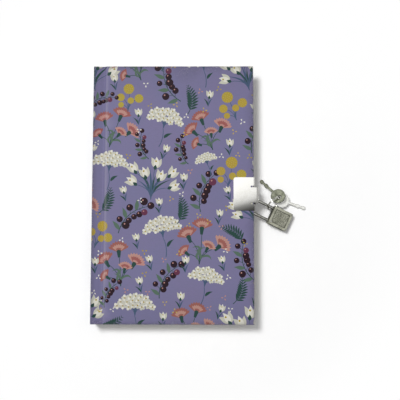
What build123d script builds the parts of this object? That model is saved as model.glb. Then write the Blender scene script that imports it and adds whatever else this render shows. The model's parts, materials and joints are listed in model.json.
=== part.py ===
"""A hardback diary held shut by a hasp, with a small padlock and two keys on a ring.

The diary lies closed and locked on its back cover. +Z is up, +Y runs to the head of the book and +X
from the spine to the fore-edge. The origin is the middle of the back cover's outer face.
Sizes are in millimetres.
"""

import math
import os

from build123d import *

# Case: two boards and a spine board, covered in printed paper
case_height = 210.0
case_width = 131.0
board_thickness = 2.2
paper_thickness = 0.25
turn_in = 14.0
endpaper_thickness = 0.2
endpaper_margin = 4.0
joint_width = 7.0
joint_thickness = 0.7
joint_clearance = 0.06

# Text block: folded signatures between two flyleaves
signature_count = 10
signature_thickness = 1.4
signature_fold = 0.45
head_square = 3.5
fore_edge_square = 5.0
spine_hollow = 1.25
lining_thickness = 0.3
turn_clearance = 0.1

# Hasp: one folded plate on each board, with a tongue down or up the fore-edge
plate_thickness = 0.8
plate_reach = 16.3
plate_length = 27.0
plate_corner = 2.0
plate_proud = 0.55
inner_leaf_reach = 10.0
plate_offset_y = -0.5
fold_radius = 0.9
notch_width = 1.4
notch_depth = 2.6
tongue_width = 12.2
tongue_offset_y = -1.3
tongue_reach = 3.9
tongue_gap = 0.4
tongue_fold_radius = 1.8
tongue_overlap = 7.0
hole_width = 3.8
hole_height = 6.6
hole_edge = 0.85

# Padlock
padlock_turn_deg = 25.0
shackle_wire = 2.3
shackle_spacing = 10.8
shackle_reach = 14.2
toe_depth = 4.5
heel_depth = 2.2
heel_eye_radius = 1.9
case_length = 17.0
case_breadth = 15.6
case_depth = 6.5
case_wall = 0.8
case_corner = 1.2
case_edge = 0.45
panel_border = 2.0
panel_depth = 0.25
heel_pin_radius = 0.8
rivet_radius = 0.6
rivet_inset = 1.15
running_clearance = 0.06
toe_clearance = 0.4
heel_clearance = 0.3
floor_gap = 0.1
hole_crossing_deg = 105.0

# Lock works inside the padlock
plug_radius = 2.0
plug_collar_radius = 2.35
plug_collar_length = 0.8
plug_toe_gap = 0.4
spindle_radius = 0.9
keyway_height = 2.9
keyway_width = 0.9
keyway_depth = 6.0
cam_place = 2.3
cam_radius = 2.35
cam_thickness = 0.8
cam_nose_width = 1.7
cam_hub_radius = 1.4
cam_bite = 0.5
cam_clearance = 0.2

# Keys on their ring
ring_radius = 6.7
ring_wire_radius = 0.55
ring_place = 11.0
ring_gap = 0.6
ring_turn_deg = 63.7
ring_droop_deg = 6.0
ring_lean_deg = 66.0
key_thickness = 1.1
key_bow_radius = 6.0
key_hole_radius = 1.7
key_hole_setback = 1.4
key_reach = 22.6
key_neck_width = 1.9
key_bit_width = 3.0
key_bit_length = 3.6
key_bit_spacing = 5.2
key_slack = 0.35
front_key_turn_deg = 135.5
rear_key_turn_deg = -18.5
front_key_ring_deg = 18.0
rear_key_ring_deg = -16.0

# Levels and places that follow from the sizes above
cover_stack = 2 * paper_thickness + board_thickness + endpaper_thickness
block_thickness = signature_count * signature_thickness + 2 * endpaper_thickness
case_thickness = 2 * cover_stack + block_thickness
half_height = case_height / 2
spine_face = -case_width / 2
fore_edge = case_width / 2
middle_z = case_thickness / 2
spine_thickness = board_thickness + paper_thickness
spine_inner = spine_face + spine_thickness
spine_round = spine_thickness / 2
board_spine_edge = spine_inner + joint_width
block_spine = spine_inner + spine_hollow + lining_thickness
block_fore_edge = fore_edge - fore_edge_square
block_half_height = half_height - head_square
cover_inner = case_thickness - cover_stack
knuckle_inner = spine_round + joint_clearance
knuckle_outer = knuckle_inner + paper_thickness
spine_axis_x = spine_face + spine_round
back_axis_z = knuckle_outer
front_axis_z = case_thickness - knuckle_outer
wire_radius = shackle_wire / 2
bend_radius = shackle_spacing / 2


def span(x0, x1, y0, y1, z0, z1):
    """A box between two corners."""
    return Pos((x0 + x1) / 2, (y0 + y1) / 2, (z0 + z1) / 2) * Box(x1 - x0, y1 - y0, z1 - z0)


def along_y(face, y0, y1):
    """A profile drawn in X and Z, drawn out from y0 to y1."""
    return Pos(0, y1, 0) * extrude(Plane.XZ * face, amount=y1 - y0)


def flat_rectangle(x0, x1, z0, z1):
    return Pos((x0 + x1) / 2, (z0 + z1) / 2) * Rectangle(x1 - x0, z1 - z0)


def ring_sector(inner, outer, start_deg, end_deg):
    """A flat ring, cut between two angles that are at most half a turn apart."""
    reach = 4 * outer
    corners = [(0, 0)]
    for angle in (start_deg, (start_deg + end_deg) / 2, end_deg):
        corners.append((reach * math.cos(math.radians(angle)), reach * math.sin(math.radians(angle))))
    wedge = make_face(Polyline(*corners, close=True))
    return (Circle(outer) - Circle(inner)) & wedge


def turned_over(shape):
    """The same shape on the other side of the book, as the back cover is to the front."""
    return mirror(shape, about=Plane.XY.offset(middle_z))


# Boards, printed paper and endpapers
def board():
    return span(
        board_spine_edge,
        fore_edge - paper_thickness,
        -half_height + paper_thickness,
        half_height - paper_thickness,
        case_thickness - paper_thickness - board_thickness,
        case_thickness - paper_thickness,
    )


def cover_paper():
    """The printed paper round a board, turned in on three sides, with the joint that it hinges on."""
    turned_in_z = cover_inner + endpaper_thickness
    outside = span(
        board_spine_edge - paper_thickness,
        fore_edge,
        -half_height,
        half_height,
        turned_in_z,
        case_thickness,
    )
    window = span(
        board_spine_edge - paper_thickness,
        fore_edge - turn_in,
        -half_height + turn_in,
        half_height - turn_in,
        turned_in_z,
        turned_in_z + paper_thickness,
    )
    joint_end = spine_inner + joint_clearance
    joint = flat_rectangle(
        joint_end, board_spine_edge - paper_thickness / 2, cover_inner, cover_inner + joint_thickness
    )
    riser = flat_rectangle(joint_end, joint_end + paper_thickness, cover_inner, front_axis_z)
    knuckle = Pos(spine_axis_x, front_axis_z) * ring_sector(knuckle_inner, knuckle_outer, 0, 90)
    hinge = along_y(joint + riser + knuckle, -half_height, half_height)
    return (outside - board() - window) + hinge


def pastedown():
    """The endpaper glued inside a cover, over the paper's turned-in edges."""
    over_turn_in = span(
        board_spine_edge,
        fore_edge - endpaper_margin,
        -half_height + endpaper_margin,
        half_height - endpaper_margin,
        cover_inner,
        cover_inner + endpaper_thickness,
    )
    in_window = span(
        board_spine_edge,
        fore_edge - turn_in,
        -half_height + turn_in,
        half_height - turn_in,
        cover_inner + endpaper_thickness,
        cover_inner + endpaper_thickness + paper_thickness,
    )
    return over_turn_in + in_window


# Spine: a board with rounded edges, covered by the printed paper
def spine_profile(inset):
    """The spine's section, inset from its face and its two round edges but not from its inner face."""
    radius = spine_round - inset
    ends = Pos(spine_axis_x, back_axis_z) * Circle(radius) + Pos(spine_axis_x, front_axis_z) * Circle(radius)
    outer_half = flat_rectangle(spine_face + inset, spine_axis_x, back_axis_z, front_axis_z)
    inner_half = flat_rectangle(spine_axis_x, spine_inner, back_axis_z, front_axis_z)
    return ends + outer_half + inner_half


def spine_board():
    end = half_height - paper_thickness
    return along_y(spine_profile(paper_thickness), -end, end)


def spine_paper():
    return along_y(spine_profile(0), -half_height, half_height) - spine_board()


# Text block
def signature(number):
    """One folded gathering of leaves, counted up from the back cover, with its fold at the spine."""
    bottom = cover_stack + endpaper_thickness + number * signature_thickness
    section = flat_rectangle(block_spine, block_fore_edge, bottom, bottom + signature_thickness)
    fold = section.vertices().sort_by(Axis.X)[:2]
    return along_y(fillet(fold, signature_fold * signature_thickness), -block_half_height, block_half_height)


def flyleaf():
    return span(
        block_spine,
        block_fore_edge,
        -block_half_height,
        block_half_height,
        cover_inner - endpaper_thickness,
        cover_inner,
    )


def spine_lining():
    """The lining glued to the folds of the front half of the leaves."""
    return span(
        block_spine - lining_thickness,
        block_spine,
        -block_half_height,
        block_half_height,
        middle_z,
        cover_inner,
    )


# Hasp plates
plate_y0 = plate_offset_y - plate_length / 2
plate_y1 = plate_offset_y + plate_length / 2
tongue_y0 = tongue_offset_y - tongue_width / 2
tongue_y1 = tongue_offset_y + tongue_width / 2
hole_y = tongue_y0 + hole_edge + hole_width / 2
tongue_outer = fore_edge + tongue_reach
tongue_middle = tongue_outer - plate_thickness - tongue_gap / 2


def hasp_plate(proud, tongue_face):
    """A plate folded round the fore-edge of the front board, with its tongue in the fore-edge's middle."""
    top = case_thickness + proud
    leaf_under = top - plate_thickness
    flange = fore_edge + plate_thickness

    leaf = span(fore_edge - plate_reach, fore_edge, plate_y0, plate_y1, leaf_under, top)
    corners = leaf.edges().filter_by(Axis.Z).group_by(Axis.X)[0]
    plate = fillet(corners, plate_corner)

    fold = flat_rectangle(fore_edge - inner_leaf_reach, flange, cover_inner, top)
    fold = fillet(fold.vertices().group_by(Axis.X)[-1], fold_radius)
    pocket = flat_rectangle(
        fore_edge - inner_leaf_reach, fore_edge, cover_inner + plate_thickness, leaf_under
    )
    plate += along_y(fold - pocket, plate_y0, tongue_y0 - notch_width)
    plate += along_y(fold - pocket, tongue_y1 + notch_width, plate_y1)

    end_z = middle_z - tongue_overlap / 2
    bend = flat_rectangle(fore_edge - notch_depth, tongue_face, end_z, top)
    bend = fillet(bend.vertices().group_by(Axis.X)[-1].sort_by(Axis.Y)[-1:], tongue_fold_radius)
    inside = flat_rectangle(
        fore_edge - notch_depth, tongue_face - plate_thickness, end_z, leaf_under
    )
    inside = fillet(
        inside.vertices().group_by(Axis.X)[-1].sort_by(Axis.Y)[-1:], tongue_fold_radius - plate_thickness
    )
    plate += along_y(bend - inside, tongue_y0, tongue_y1)

    for y in (tongue_y0 - notch_width / 2, tongue_y1 + notch_width / 2):
        relief = span(
            fore_edge - notch_depth + notch_width / 2,
            flange,
            y - notch_width / 2,
            y + notch_width / 2,
            leaf_under,
            top,
        )
        end = Pos(fore_edge - notch_depth + notch_width / 2, y, top - plate_thickness / 2)
        plate -= relief + end * Cylinder(notch_width / 2, plate_thickness)

    slot = Plane.YZ * SlotCenterToCenter(hole_height - hole_width, hole_width, rotation=90)
    hole = extrude(slot, amount=plate_thickness, both=True)
    return plate - Pos(tongue_face - plate_thickness / 2, hole_y, middle_z) * hole


# Padlock, drawn flat: X runs from the shackle's bend into the case, Y from the heel to the toe
case_top = shackle_reach
case_end = case_top + case_length
heel_x = case_top + heel_depth
toe_end = case_top + toe_depth
cam_x = case_top + cam_place
notch_floor = bend_radius - wire_radius + cam_bite + cam_clearance / 2
plug_y = bend_radius - wire_radius + cam_bite - cam_radius
plug_start = toe_end + plug_toe_gap


def shackle():
    """A bent wire with an eye at its heel and a notch for the lock's cam near its toe."""
    heel = (heel_x, -bend_radius)
    path = Line(heel, (0, -bend_radius))
    path += ThreePointArc((0, -bend_radius), (-bend_radius, 0), (0, bend_radius))
    path += Line((0, bend_radius), (toe_end, bend_radius))
    section = Plane(origin=(*heel, 0), z_dir=(-1, 0, 0)) * Circle(wire_radius)
    bow = sweep(section, path=path)
    eye = Pos(*heel) * Cylinder(heel_eye_radius, shackle_wire)
    bore = Pos(*heel) * Cylinder(heel_pin_radius + running_clearance, 2 * shackle_wire)
    notch = span(
        cam_x - cam_clearance,
        cam_x + cam_thickness + cam_clearance,
        0,
        notch_floor,
        -wire_radius,
        wire_radius,
    )
    return bow + eye - bore - notch


def case_shell():
    """The upper half of the padlock's case, open below."""
    half_breadth = case_breadth / 2
    half_depth = case_depth / 2
    shell = span(case_top, case_end, -half_breadth, half_breadth, 0, half_depth)
    shell = fillet(shell.edges().filter_by(Axis.Z), case_corner)
    shell = fillet(shell.edges().group_by(Axis.Z)[-1], case_edge)
    shell -= span(
        case_top + case_wall,
        case_end - case_wall,
        case_wall - half_breadth,
        half_breadth - case_wall,
        0,
        half_depth - case_wall,
    )
    toe_hole = Cylinder(wire_radius + toe_clearance, 2 * case_wall, rotation=(0, 90, 0))
    shell -= Pos(case_top + case_wall / 2, bend_radius, 0) * toe_hole
    shell -= span(
        case_top,
        heel_x + wire_radius + heel_clearance,
        -half_breadth,
        -bend_radius + wire_radius + heel_clearance,
        0,
        wire_radius + heel_clearance,
    )
    plug_hole = Cylinder(plug_radius + running_clearance, 2 * case_wall, rotation=(0, 90, 0))
    shell -= Pos(case_end - case_wall / 2, plug_y, 0) * plug_hole
    for place, radius in [((heel_x, -bend_radius), heel_pin_radius), *rivet_places()]:
        shell -= Pos(*place) * Cylinder(radius + running_clearance, 2 * case_depth)
    return shell


def rivet_places():
    x = case_end - rivet_inset
    y = case_breadth / 2 - rivet_inset
    return [((x, -y), rivet_radius), ((x, y), rivet_radius)]


def case_front():
    panel = span(
        case_top + panel_border,
        case_end - panel_border,
        panel_border - case_breadth / 2,
        case_breadth / 2 - panel_border,
        case_depth / 2 - panel_depth,
        case_depth / 2,
    )
    return case_shell() - panel


def case_back():
    return mirror(case_shell(), about=Plane.XY)


def heel_pin():
    return Pos(heel_x, -bend_radius) * Cylinder(heel_pin_radius, case_depth)


def case_rivets():
    return [Pos(*place) * Cylinder(radius, case_depth) for place, radius in rivet_places()]


def rod(radius, x0, x1):
    """A round bar along the plug's axis."""
    return Pos((x0 + x1) / 2, plug_y, 0) * Cylinder(radius, x1 - x0, rotation=(0, 90, 0))


def lock_plug():
    """The round plug that the key turns, with a spindle for the cam on its inner end."""
    collar_end = case_end - case_wall - running_clearance
    plug = rod(plug_radius, plug_start, case_end)
    plug += rod(plug_collar_radius, collar_end - plug_collar_length, collar_end)
    plug += rod(spindle_radius, cam_x, plug_start)
    keyway = span(
        case_end - keyway_depth,
        case_end,
        -keyway_width / 2,
        keyway_width / 2,
        -keyway_height / 2,
        keyway_height / 2,
    )
    return plug - Pos(0, plug_y, 0) * keyway


def lock_cam():
    """The cam on the plug's spindle, whose nose holds the shackle by its notch."""
    end = cam_x + cam_thickness
    nose = span(cam_x, end, plug_y, plug_y + cam_radius, -cam_nose_width / 2, cam_nose_width / 2)
    nose &= rod(cam_radius, cam_x, end)
    return nose + rod(cam_hub_radius, cam_x, end) - rod(spindle_radius, cam_x, end)


# Keys and their ring
def key():
    """A flat key, its ring's wire at the origin and its blade along +X."""
    hole = key_slack
    bow = hole + key_hole_setback
    outline = Pos(bow, 0) * Circle(key_bow_radius)
    blade_start = bow + key_bow_radius / 2
    neck = Pos((blade_start + key_reach - key_bit_width / 2) / 2, 0)
    outline += neck * Rectangle(key_reach - key_bit_width / 2 - blade_start, key_neck_width)
    for bit in range(2):
        centre = key_reach - key_bit_length / 2 - bit * key_bit_spacing
        outline += Pos(centre, 0) * SlotOverall(key_bit_length, key_bit_width)
    outline -= Pos(hole, 0) * Circle(key_hole_radius)
    return extrude(outline, amount=key_thickness / 2, both=True)


def unit(vector):
    return vector / vector.length


# Where the padlock lies: its shackle passes through the tongues and its case rests on the table
turn = math.radians(padlock_turn_deg)
crossing = math.radians(hole_crossing_deg)
crossing_x = bend_radius * math.cos(crossing)
crossing_y = bend_radius * math.sin(crossing)
drop = middle_z - floor_gap
lever = math.hypot(case_end - crossing_x, case_depth / 2)
padlock_tilt = math.asin(drop / lever) - math.atan2(case_depth / 2, case_end - crossing_x)
level_x = Vector(math.cos(turn), -math.sin(turn), 0)
lock_x = level_x * math.cos(padlock_tilt) - Vector(0, 0, math.sin(padlock_tilt))
lock_y = Vector(math.sin(turn), math.cos(turn), 0)
lock_z = lock_x.cross(lock_y)
swing_point = Vector(tongue_middle, hole_y, middle_z)
lock_origin = swing_point - lock_x * crossing_x - lock_y * crossing_y
padlock_place = Plane(origin=lock_origin, x_dir=lock_x, z_dir=lock_z).location


def lock_point(x, y, z):
    """A point of the padlock's own drawing, as it lies beside the book."""
    return lock_origin + lock_x * x + lock_y * y + lock_z * z


# Where the ring hangs on the shackle's toe leg, and the keys on the ring
ring_heading = math.radians(ring_turn_deg - padlock_turn_deg)
droop = math.radians(ring_droop_deg)
ring_level = Vector(math.cos(ring_heading), math.sin(ring_heading), 0)
ring_out = ring_level * math.cos(droop) - Vector(0, 0, math.sin(droop))
ring_side = unit(Vector(0, 0, 1).cross(ring_level))
ring_up = unit(ring_side.cross(ring_out)) * -1
lean = math.radians(ring_lean_deg)
ring_rise = ring_up * math.sin(lean) + ring_side * math.cos(lean)
ring_hang = ring_radius - ring_wire_radius - wire_radius - ring_gap
ring_centre = lock_point(ring_place, bend_radius, 0) + ring_out * ring_hang
ring_place_on_shackle = Plane(
    origin=ring_centre, x_dir=ring_out, z_dir=ring_out.cross(ring_rise)
).location


def ring_point(angle_deg):
    angle = math.radians(angle_deg)
    return ring_centre + (ring_out * math.cos(angle) + ring_rise * math.sin(angle)) * ring_radius


def key_frame(ring_deg, heading_deg):
    """A key's plane: its wire on the ring, and its tip down on the table."""
    wire = ring_point(ring_deg)
    heading = math.radians(heading_deg)
    fall = wire.Z - key_thickness / 2 - floor_gap
    slope = math.asin(fall / key_reach)
    level = Vector(math.cos(heading), math.sin(heading), 0)
    along = level * math.cos(slope) - Vector(0, 0, math.sin(slope))
    across = Vector(0, 0, 1).cross(level)
    return Plane(origin=wire, x_dir=along, z_dir=along.cross(across))


front_key_frame = key_frame(front_key_ring_deg, front_key_turn_deg)
rear_key_frame = key_frame(rear_key_ring_deg, rear_key_turn_deg)


# The pieces by name
def build_pieces():
    front_hasp = hasp_plate(plate_proud, tongue_outer)
    back_hasp = turned_over(hasp_plate(0, tongue_outer - plate_thickness - tongue_gap))
    pieces = {
        "front_board": board() - front_hasp,
        "front_cover_paper": cover_paper() - front_hasp,
        "front_pastedown": pastedown() - front_hasp,
        "front_flyleaf": flyleaf(),
        "front_spine_lining": spine_lining(),
        "front_hasp_plate": front_hasp,
        "back_board": turned_over(board()) - back_hasp,
        "back_cover_paper": turned_over(cover_paper()) - back_hasp,
        "back_pastedown": turned_over(pastedown()) - back_hasp,
        "back_flyleaf": turned_over(flyleaf()),
        "back_spine_lining": turned_over(spine_lining()),
        "back_hasp_plate": back_hasp,
        "spine_board": spine_board(),
        "spine_paper": spine_paper(),
        "shackle": padlock_place * shackle(),
        "padlock_case_front": padlock_place * case_front(),
        "padlock_case_back": padlock_place * case_back(),
        "heel_pin": padlock_place * heel_pin(),
        "case_rivets": [padlock_place * rivet for rivet in case_rivets()],
        "lock_plug": padlock_place * lock_plug(),
        "lock_cam": padlock_place * lock_cam(),
        "key_ring": ring_place_on_shackle * Torus(ring_radius, ring_wire_radius),
        "front_key": front_key_frame.location * key(),
        "rear_key": rear_key_frame.location * key(),
    }
    for number in range(signature_count):
        pieces[f"signature_{number + 1:02d}"] = signature(number)
    return pieces


def main():
    os.makedirs("parts", exist_ok=True)
    for name, piece in build_pieces().items():
        shape = Compound(children=piece) if isinstance(piece, list) else piece
        export_step(shape, f"parts/{name}.step")


if __name__ == "__main__":
    main()
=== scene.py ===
import json
import math
import random

import bmesh
import bpy
import numpy as np
from mathutils import Euler, Matrix, Vector
from mathutils.geometry import delaunay_2d_cdt
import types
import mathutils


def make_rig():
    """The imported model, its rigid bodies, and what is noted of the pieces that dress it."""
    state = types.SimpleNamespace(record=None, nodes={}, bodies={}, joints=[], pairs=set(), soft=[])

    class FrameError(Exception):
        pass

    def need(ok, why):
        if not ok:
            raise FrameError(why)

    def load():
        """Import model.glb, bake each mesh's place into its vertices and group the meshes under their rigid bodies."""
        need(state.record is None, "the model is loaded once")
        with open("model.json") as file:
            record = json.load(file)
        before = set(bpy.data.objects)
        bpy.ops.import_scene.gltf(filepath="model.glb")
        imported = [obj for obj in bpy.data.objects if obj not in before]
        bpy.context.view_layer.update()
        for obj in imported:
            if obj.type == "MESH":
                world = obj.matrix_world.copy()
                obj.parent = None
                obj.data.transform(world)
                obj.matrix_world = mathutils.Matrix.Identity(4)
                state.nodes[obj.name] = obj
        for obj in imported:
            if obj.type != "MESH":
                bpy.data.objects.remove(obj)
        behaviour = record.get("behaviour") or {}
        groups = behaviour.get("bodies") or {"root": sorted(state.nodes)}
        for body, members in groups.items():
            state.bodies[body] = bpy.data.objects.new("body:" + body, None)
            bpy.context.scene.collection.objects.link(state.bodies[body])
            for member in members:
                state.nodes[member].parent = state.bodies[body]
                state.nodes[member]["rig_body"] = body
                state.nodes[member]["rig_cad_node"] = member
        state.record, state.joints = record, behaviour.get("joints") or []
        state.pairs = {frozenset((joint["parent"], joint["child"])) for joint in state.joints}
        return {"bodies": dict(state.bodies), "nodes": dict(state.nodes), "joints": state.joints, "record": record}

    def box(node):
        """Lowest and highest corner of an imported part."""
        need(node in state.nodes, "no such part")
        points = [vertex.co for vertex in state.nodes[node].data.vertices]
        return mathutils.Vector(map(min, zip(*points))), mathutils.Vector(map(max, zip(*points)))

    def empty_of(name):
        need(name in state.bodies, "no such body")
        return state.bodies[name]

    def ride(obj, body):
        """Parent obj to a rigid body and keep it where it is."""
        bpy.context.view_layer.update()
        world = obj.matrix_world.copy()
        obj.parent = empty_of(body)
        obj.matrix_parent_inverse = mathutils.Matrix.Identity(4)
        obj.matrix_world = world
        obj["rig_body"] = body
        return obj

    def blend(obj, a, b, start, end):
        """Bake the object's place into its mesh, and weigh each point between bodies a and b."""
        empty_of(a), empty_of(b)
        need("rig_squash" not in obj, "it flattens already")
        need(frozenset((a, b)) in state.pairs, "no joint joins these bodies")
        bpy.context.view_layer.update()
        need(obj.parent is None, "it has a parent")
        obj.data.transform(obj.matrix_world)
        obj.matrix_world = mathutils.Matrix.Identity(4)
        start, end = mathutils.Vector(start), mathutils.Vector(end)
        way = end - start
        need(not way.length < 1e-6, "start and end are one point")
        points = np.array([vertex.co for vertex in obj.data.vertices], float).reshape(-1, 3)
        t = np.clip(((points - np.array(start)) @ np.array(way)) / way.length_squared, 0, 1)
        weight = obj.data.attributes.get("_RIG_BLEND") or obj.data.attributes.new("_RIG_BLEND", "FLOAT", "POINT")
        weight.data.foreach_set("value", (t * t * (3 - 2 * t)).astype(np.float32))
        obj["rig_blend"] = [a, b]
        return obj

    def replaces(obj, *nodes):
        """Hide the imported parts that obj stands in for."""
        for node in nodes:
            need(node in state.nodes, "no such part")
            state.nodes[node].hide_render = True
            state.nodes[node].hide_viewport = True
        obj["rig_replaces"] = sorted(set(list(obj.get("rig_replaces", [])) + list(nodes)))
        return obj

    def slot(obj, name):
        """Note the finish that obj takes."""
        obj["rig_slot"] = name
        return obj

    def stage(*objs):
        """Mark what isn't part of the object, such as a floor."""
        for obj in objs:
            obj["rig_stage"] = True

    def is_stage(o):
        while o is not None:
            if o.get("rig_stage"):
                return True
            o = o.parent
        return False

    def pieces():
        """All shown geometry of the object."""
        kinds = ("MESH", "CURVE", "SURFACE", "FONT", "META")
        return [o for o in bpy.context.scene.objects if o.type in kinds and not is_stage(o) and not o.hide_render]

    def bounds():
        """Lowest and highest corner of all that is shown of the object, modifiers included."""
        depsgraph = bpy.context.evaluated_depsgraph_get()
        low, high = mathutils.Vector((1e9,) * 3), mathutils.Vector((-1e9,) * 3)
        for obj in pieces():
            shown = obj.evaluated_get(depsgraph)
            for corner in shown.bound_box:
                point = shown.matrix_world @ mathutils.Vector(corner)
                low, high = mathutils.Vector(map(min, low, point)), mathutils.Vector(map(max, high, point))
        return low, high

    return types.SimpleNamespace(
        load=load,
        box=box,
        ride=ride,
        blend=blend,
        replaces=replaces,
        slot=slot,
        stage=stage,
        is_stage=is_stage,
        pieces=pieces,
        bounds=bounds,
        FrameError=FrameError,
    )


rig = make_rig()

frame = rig.load()
cad_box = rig.bounds()

MM = 0.001
QUARTER = math.pi / 2


def new_object(name, data):
    """An object in the scene, at the origin."""
    obj = bpy.data.objects.new(name, data)
    bpy.context.scene.collection.objects.link(obj)
    return obj


# Levels of the book, in mm, read from the solids

half_width, half_height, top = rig.box("front_cover_paper")[1] / MM
turn_in_face = (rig.box("front_pastedown")[1] / MM).z
board_spine_edge = (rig.box("front_board")[0] / MM).x
spine_low, spine_high = (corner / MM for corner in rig.box("spine_paper"))


# How the printed sheet lies on them, in mm

fold_radius = 0.45
fore_steps = 6
end_steps = 5
face_x, face_y = half_width - fold_radius, half_height - fold_radius
turn_in = 13.0
cover_wrap = top - turn_in_face
groove_wrap = 1.4
groove_floor = top - 1.3
groove_middle = board_spine_edge - 0.9
groove_lip = board_spine_edge + 1.85
groove_steps = 14
crest_radius = 1.1
crest_x = spine_low.x + crest_radius
crest_steps = 8
spine_face = spine_low.x + 0.12
spine_wrap = 2.4


# Where it is rubbed and stretched, where shade is painted at its rims, head and tail and a highlight on the joint's
# lip, in mm, and where its joints bend

rub_reach = 1.2
crest_rub_reach = 1.6
rim_shade_margin = 5.0
end_shade_reach = 34.0
end_shade_share = 0.3
lip_highlight_reach = 1.8
lip_highlight_inside = 0.4
bend_from = 0.7
bend_to = 2.7
bend_start_drop = 0.8
bend_end_drop = 0.2


# Colours of the print

def ink(red, green, blue):
    """A printed colour given in 0-255 values, as linear light."""
    def linear(value):
        share = value / 255
        return share / 12.92 if share <= 0.04045 else ((share + 0.055) / 1.055) ** 2.4
    return (linear(red), linear(green), linear(blue), 1.0)


INKS = {
    "ground": ink(114, 110, 144),
    "mustard": ink(162, 142, 54),
    "ochre": ink(178, 153, 84),
    "coral": ink(144, 86, 82),
    "peach": ink(174, 130, 122),
    "plum": ink(34, 14, 25),
    "wine": ink(92, 44, 66),
    "cream": ink(212, 210, 199),
    "shade": ink(188, 187, 173),
    "green": ink(36, 66, 60),
    "sage": ink(80, 102, 88),
    "teal": ink(64, 83, 108),
}


# Drawn motifs: each gives (outline, ink) pairs, later ones on top, from its foot, turn and size in mm
# Places and widths within a motif are shares of its size, and leans are in radians

def placed(points, x, y, turn, size):
    """Points turned, sized and moved to (x, y)."""
    c, s = math.cos(turn) * size, math.sin(turn) * size
    return [(x + px * c - py * s, y + px * s + py * c) for px, py in points]


def spot(x, y, turn, size, across, up):
    """One point of a motif, turned, sized and moved."""
    return placed([(across, up)], x, y, turn, size)[0]


def ahead(x, y, lean, reach):
    """The point at a reach from (x, y), in a direction given as its lean from upright."""
    return (x - math.sin(lean) * reach, y + math.cos(lean) * reach)


def around(x, y, radius, angle):
    return (x + radius * math.cos(angle), y + radius * math.sin(angle))


def midway(a, b):
    return ((a[0] + b[0]) / 2, (a[1] + b[1]) / 2)


def disc(x, y, radius, sides):
    return [around(x, y, radius, math.tau * i / sides) for i in range(sides)]


def curve(start, bend, end, steps):
    """Points on the quadratic curve from start to end, drawn towards bend."""
    points = []
    for i in range(steps + 1):
        t = i / steps
        points.append(tuple(
            (1 - t) ** 2 * a + 2 * t * (1 - t) * b + t * t * c
            for a, b, c in zip(start, bend, end)
        ))
    return points


def ribbon(path, widths):
    """The outline of a strip along path, with a width at each point."""
    left, right = [], []
    for i, (x, y) in enumerate(path):
        ax, ay = path[max(i - 1, 0)]
        bx, by = path[min(i + 1, len(path) - 1)]
        length = math.hypot(bx - ax, by - ay)
        nx, ny = -(by - ay) / length, (bx - ax) / length
        left.append((x + nx * widths[i] / 2, y + ny * widths[i] / 2))
        right.append((x - nx * widths[i] / 2, y - ny * widths[i] / 2))
    return left + right[::-1]


def stem(start, bend, end, width=0.5, steps=7):
    """A stem that thins towards its end."""
    foot, thinning = 1.15, 0.4
    widths = [width * (foot - thinning * i / steps) for i in range(steps + 1)]
    return ribbon(curve(start, bend, end, steps), widths)


def blade(start, bend, end, width, steps=9):
    """A leaf that is widest a little before its middle and pointed at its tip."""
    widths = [width * max(math.sin(math.pi * (i / steps) ** 0.8), 0.06) for i in range(steps + 1)]
    return ribbon(curve(start, bend, end, steps), widths)


def bowed_rib(x, y, turn, size, bend, end, width, steps):
    """A bowed green stem, and the place and lean of each point along it."""
    bend, end = spot(x, y, turn, size, *bend), spot(x, y, turn, size, *end)
    path = curve((x, y), bend, end, steps)
    leans = [math.atan2(b[1] - a[1], b[0] - a[0]) - QUARTER for a, b in zip(path, path[1:])]
    return (stem((x, y), bend, end, width, steps), "green"), list(zip(path[1:], leans))


def cup_flower(x, y, turn, size, petal, shade):
    """A flower seen from its side, with three pointed petals and a green foot."""
    petal_outline = blade((0, 0), (0.12, 0.5), (0, 1), 0.46)
    foot = blade((0, -0.16), (0.02, 0.05), (0, 0.3), 0.3, 6)
    shapes = [
        (placed(petal_outline, x, y, turn + lean, size), colour)
        for lean, colour in ((-0.46, shade), (0.46, shade), (0.0, petal))
    ]
    shapes.append((disc(*spot(x, y, turn, size, 0, 0.62), 0.085 * size, 8), "mustard"))
    shapes.append((placed(foot, x, y, turn, size), "green"))
    return shapes


def crocus_clump(x, y, turn, size, draw):
    """Cream cup flowers on stems that rise from one foot, between grassy leaves."""
    shapes, heads = [], []
    for i in range(6):
        lean = turn + (i - 2.5) * 0.3 + draw.uniform(-0.08, 0.08)
        reach = size * draw.uniform(0.75, 1.05)
        leaf = blade((x, y), ahead(x, y, turn, reach * 0.5), ahead(x, y, lean, reach), size * 0.07)
        shapes.append((leaf, "teal" if i % 2 else "green"))
    for i in range(7):
        lean = turn + (i - 3) * 0.3 + draw.uniform(-0.07, 0.07)
        reach = size * (1.02 if i % 2 else 0.72) * draw.uniform(0.92, 1.06)
        end = ahead(x, y, lean, reach)
        shapes.append((stem((x, y), ahead(x, y, turn, reach * 0.55), end, 0.55), "teal"))
        heads.append((*end, lean * 1.15 - turn * 0.15))
    for hx, hy, lean in heads:
        shapes += cup_flower(hx, hy, lean, size * 0.37, "cream", "shade")
    return shapes


def fan_flower(x, y, turn, size, petal, light):
    """A ragged fan of petals seen from its side, over a slim green cup."""
    cup = [(-0.1, -0.42), (0.1, -0.42), (0.19, 0.16), (0, 0.24), (-0.19, 0.16)]
    layers = ((1.0, 1.15, 9, petal), (0.72, 0.9, 7, light), (0.42, 0.7, 5, petal))
    shapes = []
    for reach, fan, teeth, colour in layers:
        outline = [(0, 0)]
        for i in range(teeth * 2 + 1):
            a = fan * (1 - i / teeth)
            r = reach * (1.0 if i % 2 else 0.86)
            outline.append((math.sin(a) * r, math.cos(a) * r))
        shapes.append((placed(outline, x, y, turn, size), colour))
    shapes.append((placed(cup, x, y, turn, size), "green"))
    return shapes


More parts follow.
